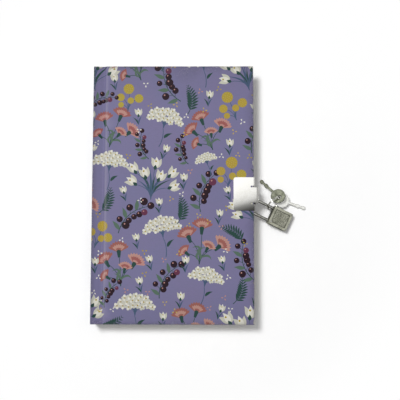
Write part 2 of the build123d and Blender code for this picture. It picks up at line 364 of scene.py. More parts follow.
def carnation_spray(x, y, turn, size, draw):
    """Ragged coral flowers on stems that part from one another, with slim leaves."""
    stems = ((-0.62, 0.78), (0.0, 1.05), (0.55, 0.85), (-0.28, 0.52), (0.95, 0.5))
    shapes, heads = [], []
    for i, (lean, reach) in enumerate(stems):
        lean += turn + draw.uniform(-0.08, 0.08)
        reach *= size
        end = ahead(x, y, lean, reach)
        bend = ahead(x, y, turn, reach * 0.5)
        shapes.append((stem((x, y), bend, end, 0.55), "green"))
        middle = midway((x, y), bend)
        tip = ahead(*middle, lean + (0.9 if i % 2 else -0.9), size * 0.34)
        shapes.append((blade(middle, midway(middle, end), tip, size * 0.07), "sage"))
        heads.append((*end, lean))
    for i, (hx, hy, lean) in enumerate(heads):
        pair = ("coral", "peach") if i % 3 else ("peach", "coral")
        shapes += fan_flower(hx, hy, lean, size * (0.37 if i < 3 else 0.27), *pair)
    return shapes


def button_spray(x, y, turn, size, draw):
    """Round mustard heads with darker pips on bare stems."""
    stems = ((-0.5, 0.75, 0.2), (0.1, 1.0, 0.24), (0.6, 0.7, 0.18), (-0.15, 0.5, 0.15), (0.95, 0.42, 0.13))
    teeth = 28
    shapes, heads = [], []
    for lean, reach, radius in stems:
        lean += turn + draw.uniform(-0.07, 0.07)
        reach *= size
        end = ahead(x, y, lean, reach)
        shapes.append((stem((x, y), ahead(x, y, turn, reach * 0.6), end, 0.5), "teal"))
        heads.append((*end, radius * size))
    for hx, hy, radius in heads:
        radii = [radius * (1.0 if i % 2 else 0.9) for i in range(teeth)]
        rim = [around(hx, hy, r, math.tau * i / teeth) for i, r in enumerate(radii)]
        shapes.append((rim, "mustard"))
        for ring, count in ((0.0, 1), (0.36, 6), (0.68, 10)):
            for i in range(count):
                pip = around(hx, hy, radius * ring, math.tau * i / count + ring)
                shapes.append((disc(*pip, radius * 0.085, 6), "ochre"))
    return shapes


def berry_branch(x, y, turn, size, draw):
    """A bowed branch with dark berries on short twigs and a few leaves."""
    twigs = 12
    rib, places = bowed_rib(x, y, turn, size, (-0.22, 0.55), (0.18, 1.0), 0.6, twigs)
    shapes = [rib]
    for i, (foot, along) in enumerate(places, 1):
        side = along + (0.95 if i % 2 else -0.95) * (1 if i < twigs else 0)
        if i % 4 == 1:
            tip = ahead(*foot, side, size * 0.3)
            middle = midway(foot, tip)
            shapes.append((blade(foot, (middle[0] + size * 0.03, middle[1]), tip, size * 0.11), "sage"))
            continue
        berry = ahead(*foot, side, size * draw.uniform(0.13, 0.2))
        shapes.append((stem(foot, midway(foot, berry), berry, 0.35, 3), "green"))
        radius = size * draw.uniform(0.075, 0.105)
        shapes.append((disc(*berry, radius, 16), "plum" if i % 5 else "wine"))
        shine = (berry[0] - radius * 0.3, berry[1] + radius * 0.35)
        shapes.append((disc(*shine, radius * 0.22, 7), "peach"))
    return shapes


def fern_frond(x, y, turn, size, draw):
    """A bowed rib with pairs of narrow leaflets that shorten towards the tip."""
    rib, places = bowed_rib(x, y, turn, size, (0.2, 0.5), (-0.16, 1.0), 0.5, 11)
    shapes = [rib]
    for i, (foot, along) in enumerate(places[1:], 2):
        reach = size * 0.3 * math.sin(math.pi * (0.25 + 0.06 * i))
        inner = ahead(*foot, along, reach * 0.35)
        for side in (-1, 1):
            tip = ahead(*foot, along + side * 0.85, reach)
            shapes.append((blade(foot, midway(inner, tip), tip, reach * 0.26, 6), "green"))
    return shapes


def seed_cluster(x, y, turn, size, draw):
    """Three loose drops, as filling between the larger motifs."""
    colour = draw.choice(("peach", "ochre", "cream", "mustard"))
    shapes = []
    for i in range(3):
        lean = turn + math.tau * i / 3
        start, end = ahead(x, y, lean, size * 0.25), ahead(x, y, lean, size)
        shapes.append((blade(end, midway(start, end), start, size * 0.42, 6), colour))
    return shapes


def umbel(x, y, turn, size, draw):
    """A domed head of tiny cream florets on rays that spread from one stem."""
    crown, bend, leaf_tip, leaf_bend = (
        spot(x, y, turn, size, *point) for point in ((0, 0.5), (0.08, 0.25), (0.26, 0.42), (0.1, 0.36))
    )
    shapes = [(stem((x, y), bend, crown, 0.6), "teal")]
    shapes.append((blade(bend, leaf_bend, leaf_tip, size * 0.08), "green"))
    florets = []
    for reach, rays, fan in ((0.27, 4, 0.42), (0.4, 6, 0.36), (0.5, 9, 0.27)):
        ray_bend = spot(*crown, turn, size, 0, reach * 0.55)
        for i in range(rays):
            lean = turn + (i - (rays - 1) / 2) * fan
            tip = ahead(*crown, lean, size * reach * draw.uniform(0.94, 1.06))
            shapes.append((stem(crown, ray_bend, tip, 0.3, 4), "teal"))
            for k in range(5):
                petal = around(*tip, size * 0.052, lean + math.tau * k / 5)
                florets.append((disc(*petal, size * 0.037, 7), "cream" if k % 2 else "shade"))
            florets.append((disc(*tip, size * 0.02, 6), "mustard"))
    return shapes + florets


def lone_bud(x, y, turn, size, draw):
    """One cream bud on a short stem with two slim leaves."""
    head = spot(x, y, turn, size, 0.06, 0.55)
    shapes = [(stem((x, y), spot(x, y, turn, size, -0.06, 0.3), head, 0.45, 5), "teal")]
    for side, colour in ((-0.28, "green"), (0.26, "teal")):
        tip = spot(x, y, turn, size, side, 0.5)
        middle = spot(x, y, turn, size, side * 0.2, 0.35)
        shapes.append((blade((x, y), middle, tip, size * 0.09, 7), colour))
    return shapes + cup_flower(*head, turn - 0.08, size * 0.5, "cream", "shade")


# How the motifs are strewn: motif, size in mm, its middle and its half width as shares of that, tilt, count

STREWN = (
    (crocus_clump, 26.0, 0.72, 0.64, 15, 6),
    (berry_branch, 30.0, 0.52, 0.42, 45, 8),
    (carnation_spray, 25.0, 0.62, 0.6, 25, 7),
    (umbel, 30.0, 0.58, 0.5, 15, 8),
    (button_spray, 20.0, 0.62, 0.58, 25, 5),
    (crocus_clump, 19.0, 0.72, 0.62, 20, 8),
    (berry_branch, 21.0, 0.52, 0.42, 60, 10),
    (fern_frond, 22.0, 0.5, 0.36, 80, 9),
    (umbel, 19.0, 0.58, 0.5, 20, 12),
    (lone_bud, 12.5, 0.5, 0.42, 25, 45),
    (seed_cluster, 2.4, 0.0, 1.1, 180, 60),
)


def printed_motifs(low, high, seed):
    """Motifs strewn over a sheet, each put where it is furthest from the others, as outlines and inks."""
    draw = random.Random(seed)
    tries, gap, same_kind_pull = 300, 0.3, 0.6
    taken, shapes = [], []

    def room(x, y, motif):
        return min([
            math.hypot(x - ox, y - oy) * (same_kind_pull if kind is motif else 1.0) - girth
            for ox, oy, girth, kind in taken
        ] or [0.0])

    for motif, size, middle, half, tilt, count in STREWN:
        for _ in range(count):
            spots = [(draw.uniform(low[0], high[0]), draw.uniform(low[1], high[1])) for _ in range(tries)]
            rooms = [room(x, y, motif) for x, y in spots]
            lean = math.radians(draw.uniform(-tilt, tilt))
            grown_size = size * draw.uniform(0.92, 1.08)
            if taken and max(rooms) < half * size + gap:
                continue
            x, y = spots[rooms.index(max(rooms))]
            taken.append((x, y, half * size, motif))
            foot = ahead(x, y, lean, -middle * grown_size)
            shapes += motif(*foot, lean, grown_size, draw)
    return [
        (outline, colour) for outline, colour in shapes
        if min(p[0] for p in outline) < high[0] and max(p[0] for p in outline) > low[0]
        and min(p[1] for p in outline) < high[1] and max(p[1] for p in outline) > low[1]
    ]


# The wrapped sheet: a section across the book and a fold at head and tail
# A section's point has its place, its outward direction and how far the sheet is folded in there

def arc(cx, cz, radius, start, end, steps):
    """Points and outward directions on a round edge, from one angle to another, in degrees."""
    out = []
    for i in range(steps + 1):
        a = math.radians(start + (end - start) * i / steps)
        out.append((cx + radius * math.cos(a), cz + radius * math.sin(a), math.cos(a), math.sin(a)))
    return out


def hollow(points, steps):
    """Points and upward directions on a cubic curve that runs to the left."""
    out = []
    for i in range(steps + 1):
        t = i / steps
        w = ((1 - t) ** 3, 3 * t * (1 - t) ** 2, 3 * t * t * (1 - t), t ** 3)
        v = (-(1 - t) ** 2, (1 - t) ** 2 - 2 * t * (1 - t), 2 * t * (1 - t) - t * t, t * t)
        x, z = (sum(a * p[k] for a, p in zip(w, points)) for k in (0, 1))
        dx, dz = (sum(a * p[k] for a, p in zip(v, points)) for k in (0, 1))
        length = math.hypot(dx, dz)
        out.append((x, z, dz / length, -dx / length))
    return out


def folded_in(points, depth):
    """Section points with the depth of the fold at head and tail, one for all or one for each."""
    return [(*point, fold) for point, fold in zip(points, np.broadcast_to(depth, len(points)))]


def round_edge(x, low, high, steps):
    """A board's edge as the sheet folds round it, from its upper to its lower face."""
    r = fold_radius
    return arc(x, high - r, r, 90, 0, steps) + arc(x, low + r, r, 0, -90, steps)


def fore_edge_section():
    """The section from the flat face round the fore-edge to the end of the turn-in."""
    points = round_edge(face_x, turn_in_face, top, fore_steps)
    return folded_in(points + [(face_x - turn_in, turn_in_face, 0.0, -1.0)], cover_wrap)


def end_section():
    """The section of the fold at head and tail, from where the flat face ends."""
    return round_edge(0, -cover_wrap, 0, end_steps) + [(-turn_in, -cover_wrap, 0.0, -1.0)]


def groove_section():
    """The section from the flat face through the sunk joint to the crest of the spine's edge."""
    slope, crest_slope, crest_drop = 1.0, 4.2, 0.35
    lowest = (groove_middle, groove_floor)
    down = [(groove_lip, top), (groove_lip - slope, top), (groove_middle + slope, groove_floor), lowest]
    up = [lowest, (groove_middle - slope, groove_floor)]
    up += [(crest_x + crest_slope, top - crest_drop), (crest_x, top)]
    points = hollow(down, groove_steps) + hollow(up, groove_steps)[1:]
    stops, depths = (crest_x, groove_middle, groove_lip), (crest_radius, groove_wrap, cover_wrap)
    return folded_in(points, np.interp([point[0] for point in points], stops, depths))


def spine_section():
    """The section from the front crest over the spine's face to the back crest."""
    r, below_crest, flat_from = crest_radius, 0.1, 2.2
    upper = arc(crest_x, top - r, r, 90, 180, crest_steps)
    lower = arc(crest_x, r, r, 180, 270, crest_steps)
    level = [(spine_low.x, top - r - below_crest), (spine_face, top - r - flat_from),
             (spine_face, r + flat_from), (spine_low.x, r + below_crest)]
    face = [(x, z, -1.0, 0.0) for x, z in level]
    return folded_in(upper[1:], r) + folded_in(face, spine_wrap) + folded_in(lower, r)


def measured(points, start):
    """The distance along a section to each of its points, counted from start."""
    places = [start]
    for a, b in zip(points, points[1:]):
        places.append(places[-1] + math.hypot(b[0] - a[0], b[1] - a[1]))
    return places


def inside(points, outline):
    """Which points, sorted by their first coordinate, lie within a closed outline."""
    ring = np.array(outline)
    first, last = np.searchsorted(points[:, 0], (ring[:, 0].min(), ring[:, 0].max()))
    x, y = points[first:last, 0], points[first:last, 1]
    odd = np.zeros(len(x), bool)
    for (ax, ay), (bx, by) in zip(ring, np.roll(ring, -1, axis=0)):
        if ay != by:
            crosses = (ay > y) != (by > y)
            odd ^= crosses & (x < (bx - ax) * (y - ay) / (by - ay) + ax)
    return first + np.nonzero(odd)[0]


def cut_sheet(joint_places, fore_places, end_places, outlines):
    """The flat sheet, mitred at its corners, in triangles cut along its folds and printed outlines."""
    spine_end = joint_places[-1]
    wall, reach = end_places[-2:]
    rim = [(spine_end, face_y + reach), (face_x - turn_in, face_y + reach), (face_x, face_y + wall),
           (face_x, face_y), (face_x + wall, face_y), (face_x + reach, face_y - turn_in)]
    rim += [(s, -b) for s, b in reversed(rim)]
    points, edges = [], []

    def add_line(line, closed=False):
        first, count = len(points), len(line)
        points.extend(Vector(p) for p in line)
        edges.extend((first + i, first + (i + 1) % count) for i in range(count if closed else count - 1))

    add_line(rim, True)
    for s in joint_places[:-1]:
        add_line([(s, -face_y - reach), (s, face_y + reach)])
    for s in fore_places[:-1]:
        add_line([(s, -face_y), (s, face_y)])
    for p in end_places[:-1]:
        for sign in (-1, 1):
            add_line([(spine_end, sign * (face_y + p)), (face_x, sign * (face_y + p))])
    for outline in outlines:
        add_line(outline, True)
    weld = 1e-5
    found, _, tris, _, _, _ = delaunay_2d_cdt(points, edges, [], 0, weld, False)
    flat = np.array([tuple(p) for p in found])
    tris = np.array([tuple(t) for t in tris])
    tris = tris[np.argsort(flat[tris].mean(1)[:, 0], kind="stable")]
    return flat, tris[inside(flat[tris].mean(1), rim)]


def read_off(values, places, rows):
    """Rows of a section's values, read off at other places along it."""
    return np.stack([np.interp(values, places, column) for column in np.array(rows).T], 1)


def falling(values, reach):
    """1 up to zero, falling to 0 at reach."""
    return np.clip(1 - values / reach, 0, 1)


def printed_wrap(name, with_spine, mirrored, seed):
    """One printed sheet folded round a cover, with its joint, and its spine where it has one."""
    fore, groove, ends = fore_edge_section(), groove_section(), end_section()
    joint = groove + (spine_section() if with_spine else [])
    fore_places = measured(fore, face_x)
    joint_places = [2 * groove_lip - p for p in measured(joint, groove_lip)]
    end_places = measured(ends, 0.0)
    wall = end_places[-2]
    motifs = printed_motifs((joint_places[-1], -face_y - wall), (face_x + wall, face_y + wall), seed)
    flat, tris = cut_sheet(joint_places, fore_places, end_places, [outline for outline, _ in motifs])

    places = joint_places[::-1] + fore_places
    s = np.clip(flat[:, 0], places[0], places[-1])
    section = read_off(s, places, joint[::-1] + fore)
    past_face = np.abs(flat[:, 1]) - face_y
    end = read_off(np.clip(past_face, 0, end_places[-1]), end_places, ends)
    side, folded = np.sign(flat[:, 1]), past_face > 0
    depth = -end[:, 1] * section[:, 4] / cover_wrap
    along = np.where(folded, side * (face_y + end[:, 0]), flat[:, 1])
    normal = section[:, 2:4] / np.linalg.norm(section[:, 2:4], axis=1)[:, None]
    co = np.stack([section[:, 0] - normal[:, 0] * depth, along, section[:, 1] - normal[:, 1] * depth], 1)
    tip, lift = np.where(folded, side * end[:, 2], 0), np.where(folded, end[:, 3], 1)
    no = np.stack([normal[:, 0] * lift, tip, normal[:, 1] * lift], 1)

    upper_bend = 3
    crest_bend = min(len(groove) + crest_steps // 2, len(joint)) - 1
    wear = np.maximum.reduce([
        falling(np.abs(past_face - end_places[upper_bend]), rub_reach),
        falling(np.abs(s - fore_places[upper_bend]), rub_reach),
        falling(np.abs(s - joint_places[crest_bend]), crest_rub_reach),
    ])
    # Its tone mark: a painted highlight on the joint's lip, less painted shade near the rims and towards head and tail
    from_rim = np.minimum.reduce([face_x - s, -past_face, section[:, 0] - crest_x])
    rim_and_end_shade = np.maximum(falling(from_rim, rim_shade_margin) ** 2, end_shade_share * falling(-past_face, end_shade_reach))
    tone = falling(np.abs(s - groove_lip + lip_highlight_inside), lip_highlight_reach) - rim_and_end_shade

    middle = flat[tris].mean(1)
    inks = np.tile(np.array(INKS["ground"]), (len(tris), 1))
    for outline, colour in motifs:
        inks[inside(middle, outline)] = INKS[colour]
    co, no, wear, tone, tris, inks = with_corners(co, no, wear, tone, tris, inks)
    if mirrored:
        co[:, 2] = top - co[:, 2]
        no[:, 2] *= -1
        tris = [t[::-1] for t in tris]
    return sheet_mesh(name, co, no, {"wear": wear, "tone": tone}, tris, inks)


def with_corners(co, no, wear, tone, tris, inks):
    """Closes the two fore-edge corners with the fold's section turned a quarter."""
    rim = round_edge(0, turn_in_face, top, end_steps)
    turns = 6
    tris, inks = [tuple(t) for t in tris.tolist()], inks.tolist()
    for side in (-1, 1):
        first = len(co)
        grid = []
        for i in range(turns + 1):
            c, s = math.cos(QUARTER * i / turns), math.sin(QUARTER * i / turns)
            for x, z, nx, nz in rim:
                grid.append((face_x + x * c, side * (face_y + x * s), z, nx * c, side * nx * s, nz))
        grid = np.array(grid)
        co, no = np.concatenate([co, grid[:, :3]]), np.concatenate([no, grid[:, 3:]])
        # The corners take full wear and full painted shade
        wear, tone = np.append(wear, np.ones(len(grid))), np.append(tone, -np.ones(len(grid)))
        for i in range(turns):
            for j in range(len(rim) - 1):
                a = first + i * len(rim) + j
                b, c, d = a + 1, a + len(rim) + 1, a + len(rim)
                for tri in ((a, b, c), (a, c, d)):
                    tris.append(tri if side > 0 else tri[::-1])
                    inks.append(INKS["ground"])
    return co, no, wear, tone, tris, inks


def sheet_mesh(name, co, no, marks, tris, inks):
    """A mesh of the folded sheet with its inks, its marks and its true directions."""
    mesh = bpy.data.meshes.new(name)
    mesh.from_pydata((co * MM).tolist(), [], tris)
    colour = mesh.attributes.new("ink", "FLOAT_COLOR", "CORNER")
    colour.data.foreach_set("color", np.repeat(np.array(inks, np.float32), 3, axis=0).ravel())
    for mark_name, values in marks.items():
        layer = mesh.attributes.new(mark_name, "FLOAT", "POINT")
        layer.data.foreach_set("value", values.astype(np.float32))
    mesh.shade_smooth()
    no = no / np.maximum(np.linalg.norm(no, axis=1), 1e-9)[:, None]
    mesh.normals_split_custom_set_from_vertices(no.tolist())
    return new_object(name, mesh)


# Surfaces

def link(tree, value, socket):
    """Joins another node's output to a socket, or sets a plain value on it."""
    if isinstance(value, bpy.types.NodeSocket):
        tree.links.new(value, socket)
    else:
        socket.default_value = value


def add(tree, kind, feeds=None, **settings):
    """A node with its settings, and with values or links on its inputs."""
    node = tree.nodes.new(kind)
    for name, value in settings.items():
        setattr(node, name, value)
    for name, value in (feeds or {}).items():
        link(tree, value, node.inputs[name])
    return node


def sums(tree, operation, a, b):
    node = add(tree, "ShaderNodeMath", operation=operation)
    for socket, value in zip(node.inputs, (a, b)):
        link(tree, value, socket)
    return node.outputs[0]


def weighed(tree, a, b, share):
    """Two values added in shares that make up one."""
    return sums(tree, "ADD", sums(tree, "MULTIPLY", a, share), sums(tree, "MULTIPLY", b, 1 - share))


def mixed(tree, share, a, b):
    """Colour a turned towards colour b by share."""
    return add(tree, "ShaderNodeMix", {0: share, 6: a, 7: b}, data_type="RGBA").outputs[2]


def object_place(tree):
    return add(tree, "ShaderNodeTexCoord").outputs["Object"]


def split(tree, vector):
    return add(tree, "ShaderNodeSeparateXYZ", {"Vector": vector}).outputs


def mark(tree, name, output="Fac"):
    """A value or colour that a piece carries on its mesh."""
    return add(tree, "ShaderNodeAttribute", attribute_name=name).outputs[output]


def noise(tree, place, scale, detail=3.0, rough=0.55):
    feeds = {"Vector": place, "Scale": scale, "Detail": detail, "Roughness": rough}
    return add(tree, "ShaderNodeTexNoise", feeds).outputs["Fac"]


def drawn_out(tree, place, turn, scale):
    """Coordinates turned about the vertical and drawn out in one direction."""
    feeds = {"Vector": place, "Rotation": (0.0, 0.0, math.radians(turn)), "Scale": scale}
    return add(tree, "ShaderNodeMapping", feeds).outputs["Vector"]


def stepped(tree, value, low, high):
    """Value taken to 0 below low, 1 above high, smoothly between."""
    feeds = {"Value": value, "From Min": low, "From Max": high}
    return add(tree, "ShaderNodeMapRange", feeds, interpolation_type="SMOOTHSTEP").outputs["Result"]


def spread(tree, value, low, high):
    """A 0-1 value laid out between low and high."""
    feeds = {"Value": value, "To Min": low, "To Max": high}
    return add(tree, "ShaderNodeMapRange", feeds).outputs["Result"]


def group_tree(name, inputs, outputs):
    """A shader group with named sockets: the tree, its given values and its ends."""
    tree = bpy.data.node_groups.new(name, "ShaderNodeTree")
    for direction, sockets in (("INPUT", inputs), ("OUTPUT", outputs)):
        for socket, kind in sockets.items():
            tree.interface.new_socket(socket, in_out=direction, socket_type="NodeSocket" + kind)
    return tree, tree.nodes.new("NodeGroupInput").outputs, tree.nodes.new("NodeGroupOutput").inputs


def paper_fibre():
    """Clouded paper or board with fibres that show and a tooth, finer as its grain grows."""
    tree, given, end = group_tree(
        "paper_fibre",
        {"Colour": "Color", "Shade": "Color", "Fibres": "Float", "Grain": "Float"},
        {"Colour": "Color", "Tone": "Float", "Relief": "Float"},
    )
    sized = {0: object_place(tree), "Scale": given["Grain"]}
    place = add(tree, "ShaderNodeVectorMath", sized, operation="SCALE").outputs[0]
    tooth = noise(tree, place, 2600.0, 4.0, 0.6)
    tone = weighed(tree, noise(tree, place, 70.0), tooth, 0.65)
    strands = noise(tree, drawn_out(tree, place, 24, (380.0, 3200.0, 900.0)), 1.0, 2.0)
    fibre = sums(tree, "MULTIPLY", stepped(tree, strands, 0.6, 0.78), given["Fibres"])
    clouded = mixed(tree, tone, given["Shade"], given["Colour"])
    link(tree, mixed(tree, fibre, clouded, given["Shade"]), end["Colour"])
    link(tree, tone, end["Tone"])
    link(tree, sums(tree, "ADD", tooth, sums(tree, "MULTIPLY", strands, 0.5)), end["Relief"])
    return tree


def handled_metal():
    """Bright metal, dull in patches and along its brushing, with scratches, dark flecks and a given darkening, which
    paints shade where pieces ask for it.
    """
    tree, given, end = group_tree(
        "handled_metal",
        {"Bright": "Color", "Dull": "Color", "Brushing": "Float", "Scratches": "Float", "Flecks": "Float",
         "Tarnish": "Float"},
        {"Colour": "Color", "Smudge": "Float", "Height": "Float"},
    )
    place = object_place(tree)
    fleck_and_shade_colour = ink(26, 26, 22)
    smudge = noise(tree, place, 320.0, 4.0, 0.6)
    brushed = noise(tree, drawn_out(tree, place, 4, (420.0, 6400.0, 2400.0)), 1.0, 3.0)
    first = noise(tree, drawn_out(tree, place, 31, (220.0, 9000.0, 900.0)), 1.0, 2.0)
    second = noise(tree, drawn_out(tree, place, -52, (260.0, 7600.0, 900.0)), 1.0, 2.0)
    scratch = sums(tree, "MAXIMUM", stepped(tree, first, 0.66, 0.74), stepped(tree, second, 0.68, 0.76))
    fleck = stepped(tree, noise(tree, place, 1500.0, 4.0, 0.7), 0.56, 0.7)
    streak = sums(tree, "MULTIPLY", brushed, given["Brushing"])
    patched = mixed(tree, stepped(tree, smudge, 0.35, 0.72), given["Bright"], given["Dull"])
    streaked = mixed(tree, streak, patched, given["Dull"])
    scratched = mixed(tree, sums(tree, "MULTIPLY", scratch, given["Scratches"]), streaked, given["Bright"])
    flecked = mixed(tree, sums(tree, "MULTIPLY", fleck, given["Flecks"]), scratched, fleck_and_shade_colour)
    # The darkening share mixes in the dark colour: painted shade on sides, borders and corners
    link(tree, mixed(tree, given["Tarnish"], flecked, fleck_and_shade_colour), end["Colour"])
    link(tree, smudge, end["Smudge"])
    link(tree, sums(tree, "SUBTRACT", streak, scratch), end["Height"])
    return tree


PAPER_FIBRE = paper_fibre()
HANDLED_METAL = handled_metal()


def new_material(name):
    material = bpy.data.materials.new(name)
    material.use_nodes = True
    tree = material.node_tree
    return material, tree, tree.nodes["Principled BSDF"]


def grouped(tree, group, **values):
    """A group placed in a material with that material's own values."""
    return add(tree, "ShaderNodeGroup", values, node_tree=group).outputs


def finished(tree, shader, colour, roughness, height, strength, distance, under=None):
    """Feeds a shader its colour, its roughness and a relief, over directions already formed."""
    relief = add(tree, "ShaderNodeBump", {"Height": height, "Strength": strength, "Distance": distance})
    if under:
        link(tree, under, relief.inputs["Normal"])
    link(tree, colour, shader.inputs["Base Color"])
    link(tree, roughness, shader.inputs["Roughness"])
    link(tree, relief.outputs["Normal"], shader.inputs["Normal"])


def printed_paper():
    """Matt laminated print: inks that cloud a little, painted shade and a painted highlight from its tone mark, and
    paper that shows at rubbed folds.
    """
    material, tree, shader = new_material("printed_paper")
    bare_paper_and_highlight, painted_shade_ink = ink(204, 198, 206), ink(48, 46, 50)
    painted_shade_share, lip_highlight_share, rub_share = 0.34, 0.16, 0.4
    paper = grouped(tree, PAPER_FIBRE, Grain=1.0)
    place = object_place(tree)
    brush = noise(tree, drawn_out(tree, place, 35, (260.0, 900.0, 400.0)), 1.0, 3.0)
    drift = weighed(tree, noise(tree, place, 34.0, 2.0), brush, 0.75)
    strength = spread(tree, brush, 0.9, 1.1)
    inks = add(tree, "ShaderNodeHueSaturation", {
        "Hue": spread(tree, drift, 0.47, 0.53), "Saturation": strength, "Value": strength,
        "Color": mark(tree, "ink", "Color"),
    }).outputs["Color"]
    # Painted shade where the tone mark falls below zero, a painted highlight where it rises above
    tone = mark(tree, "tone")
    shaded_inks = mixed(tree, sums(tree, "MULTIPLY", tone, -painted_shade_share), inks, painted_shade_ink)
    highlighted_inks = mixed(tree, sums(tree, "MULTIPLY", tone, lip_highlight_share), shaded_inks, bare_paper_and_highlight)
    grazes = stepped(tree, noise(tree, place, 900.0, 4.0), 0.52, 0.68)
    rubbed = sums(tree, "MULTIPLY", sums(tree, "MULTIPLY", mark(tree, "wear"), grazes), rub_share)
    worn = mixed(tree, rubbed, highlighted_inks, bare_paper_and_highlight)
    shader.inputs["Specular IOR Level"].default_value = 0.1
    finished(tree, shader, worn, spread(tree, paper["Tone"], 0.48, 0.6), paper["Relief"], 0.05, 0.00003)
    return material


def plain_paper(name, colour, shade, rough=0.75, grain=1.0):
    material, tree, shader = new_material(name)
    paper = grouped(tree, PAPER_FIBRE, Colour=colour, Shade=shade, Fibres=0.3, Grain=grain)
    shader.inputs["Specular IOR Level"].default_value = 0.25
    sheen = spread(tree, paper["Tone"], rough - 0.08, rough + 0.1)
    finished(tree, shader, paper["Colour"], sheen, paper["Relief"], 0.2, 0.00005)
    return material


def ruled_paper():
    """Cream writing paper with pale rules every seven millimetres between head and tail margins."""
    material, tree, shader = new_material("ruled_paper")
    half_pitch, half_line, head_margin, tail_margin = 0.0035, 0.00011, 0.080, -0.093
    paper = grouped(tree, PAPER_FIBRE, Colour=ink(243, 238, 224), Shade=ink(226, 219, 200), Grain=1.0)
    height = split(tree, object_place(tree))["Y"]
    row = sums(tree, "PINGPONG", sums(tree, "ADD", height, 1.0), half_pitch)
    rule = sums(tree, "LESS_THAN", row, half_line)
    below = sums(tree, "LESS_THAN", height, head_margin)
    above = sums(tree, "GREATER_THAN", height, tail_margin)
    ruled = sums(tree, "MULTIPLY", rule, sums(tree, "MULTIPLY", below, above))
    lined = mixed(tree, sums(tree, "MULTIPLY", ruled, 0.7), paper["Colour"], ink(150, 156, 186))
    shader.inputs["Specular IOR Level"].default_value = 0.25
    finished(tree, shader, lined, spread(tree, paper["Tone"], 0.7, 0.85), paper["Relief"], 0.2, 0.00004)
    return material


def lining_cloth():
    """Open cotton weave glued on the folds of the gatherings."""
    material, tree, shader = new_material("lining_cloth")
    pitch = 0.0004
    parts = split(tree, object_place(tree))
    warp = sums(tree, "PINGPONG", sums(tree, "ADD", parts["Y"], 1.0), pitch)
    weft = sums(tree, "PINGPONG", sums(tree, "ADD", parts["Z"], 1.0), pitch)
    thread = sums(tree, "MULTIPLY", sums(tree, "MAXIMUM", warp, weft), 1.0 / pitch)
    paper = grouped(tree, PAPER_FIBRE, Grain=1.0)
    woven = mixed(tree, thread, ink(176, 168, 146), ink(236, 230, 214))
    clouded = mixed(tree, sums(tree, "MULTIPLY", paper["Tone"], 0.3), woven, ink(204, 196, 172))
    finished(tree, shader, clouded, spread(tree, thread, 0.95, 0.8), thread, 0.5, 0.00008)
    return material


def bowed_corner(tree):
    """A painted shade that darkens sheet metal towards its lower outer corner, and the directions of the metal as it
    bows down to that corner.
    """
    x, y, lean, rate = 50.0 * MM, 12.0 * MM, 0.28, 7000.0
    corner_shade_from, corner_shade_to, corner_shade_share = 21.0 * MM, 30.0 * MM, 0.835
    parts = split(tree, object_place(tree))
    outward = sums(tree, "MULTIPLY", sums(tree, "SUBTRACT", parts["X"], x), lean)
    away = sums(tree, "SUBTRACT", outward, sums(tree, "SUBTRACT", parts["Y"], y))
    away = sums(tree, "MAXIMUM", away, 0.0)
    fall = sums(tree, "MULTIPLY", sums(tree, "POWER", away, 4.0), -rate)
    bow = add(tree, "ShaderNodeBump", {"Height": fall, "Distance": 1.0})
    # Painted shade: darker towards the lower outer corner of the plate
    darkening = sums(tree, "MULTIPLY", stepped(tree, away, corner_shade_from, corner_shade_to), corner_shade_share)
    return darkening, bow.outputs["Normal"]


def stippled_panel(tree):
    """How far the stippled panel of a padlock's case is darkened, more in its dents, and the directions of its
    stipple.
    """
    panel_darkening, dent_darkening = 0.1, 0.4
    panel = mark(tree, "panel")
    spots = stepped(tree, noise(tree, object_place(tree), 1000.0, 2.0), 0.42, 0.56)
    dents = sums(tree, "MULTIPLY", panel, sums(tree, "SUBTRACT", 1.0, spots))
    stipple = add(tree, "ShaderNodeBump", {"Height": dents, "Strength": 0.5, "Distance": -0.0001})
    evenly = sums(tree, "MULTIPLY", panel, panel_darkening)
    darkening = sums(tree, "ADD", evenly, sums(tree, "MULTIPLY", dents, dent_darkening))
    return darkening, stipple.outputs["Normal"]


def metal(name, bright, dull, rough, scratches, brushing, flecks=0.0, relief=0.12, sides=0.0, form=None):
    """Handled metal, darkened by a share on the sides that a piece marks, as painted shade, and where its form says.
    """
    material, tree, shader = new_material(name)
    # Painted shade: the faces that a piece notes as turned to its side are darkened by the share sides
    darkening, under = sums(tree, "MULTIPLY", mark(tree, "side"), sides), None
    if form:
        formed, under = form(tree)
        darkening = sums(tree, "MAXIMUM", darkening, formed)
    surface = grouped(tree, HANDLED_METAL, Bright=bright, Dull=dull, Brushing=brushing,
                      Scratches=scratches, Flecks=flecks, Tarnish=darkening)
    shader.inputs["Metallic"].default_value = 1.0
    gloss = spread(tree, surface["Smudge"], rough * 0.75, rough * 1.35)
    finished(tree, shader, surface["Colour"], gloss, surface["Height"], relief, 0.00004, under)
    return material


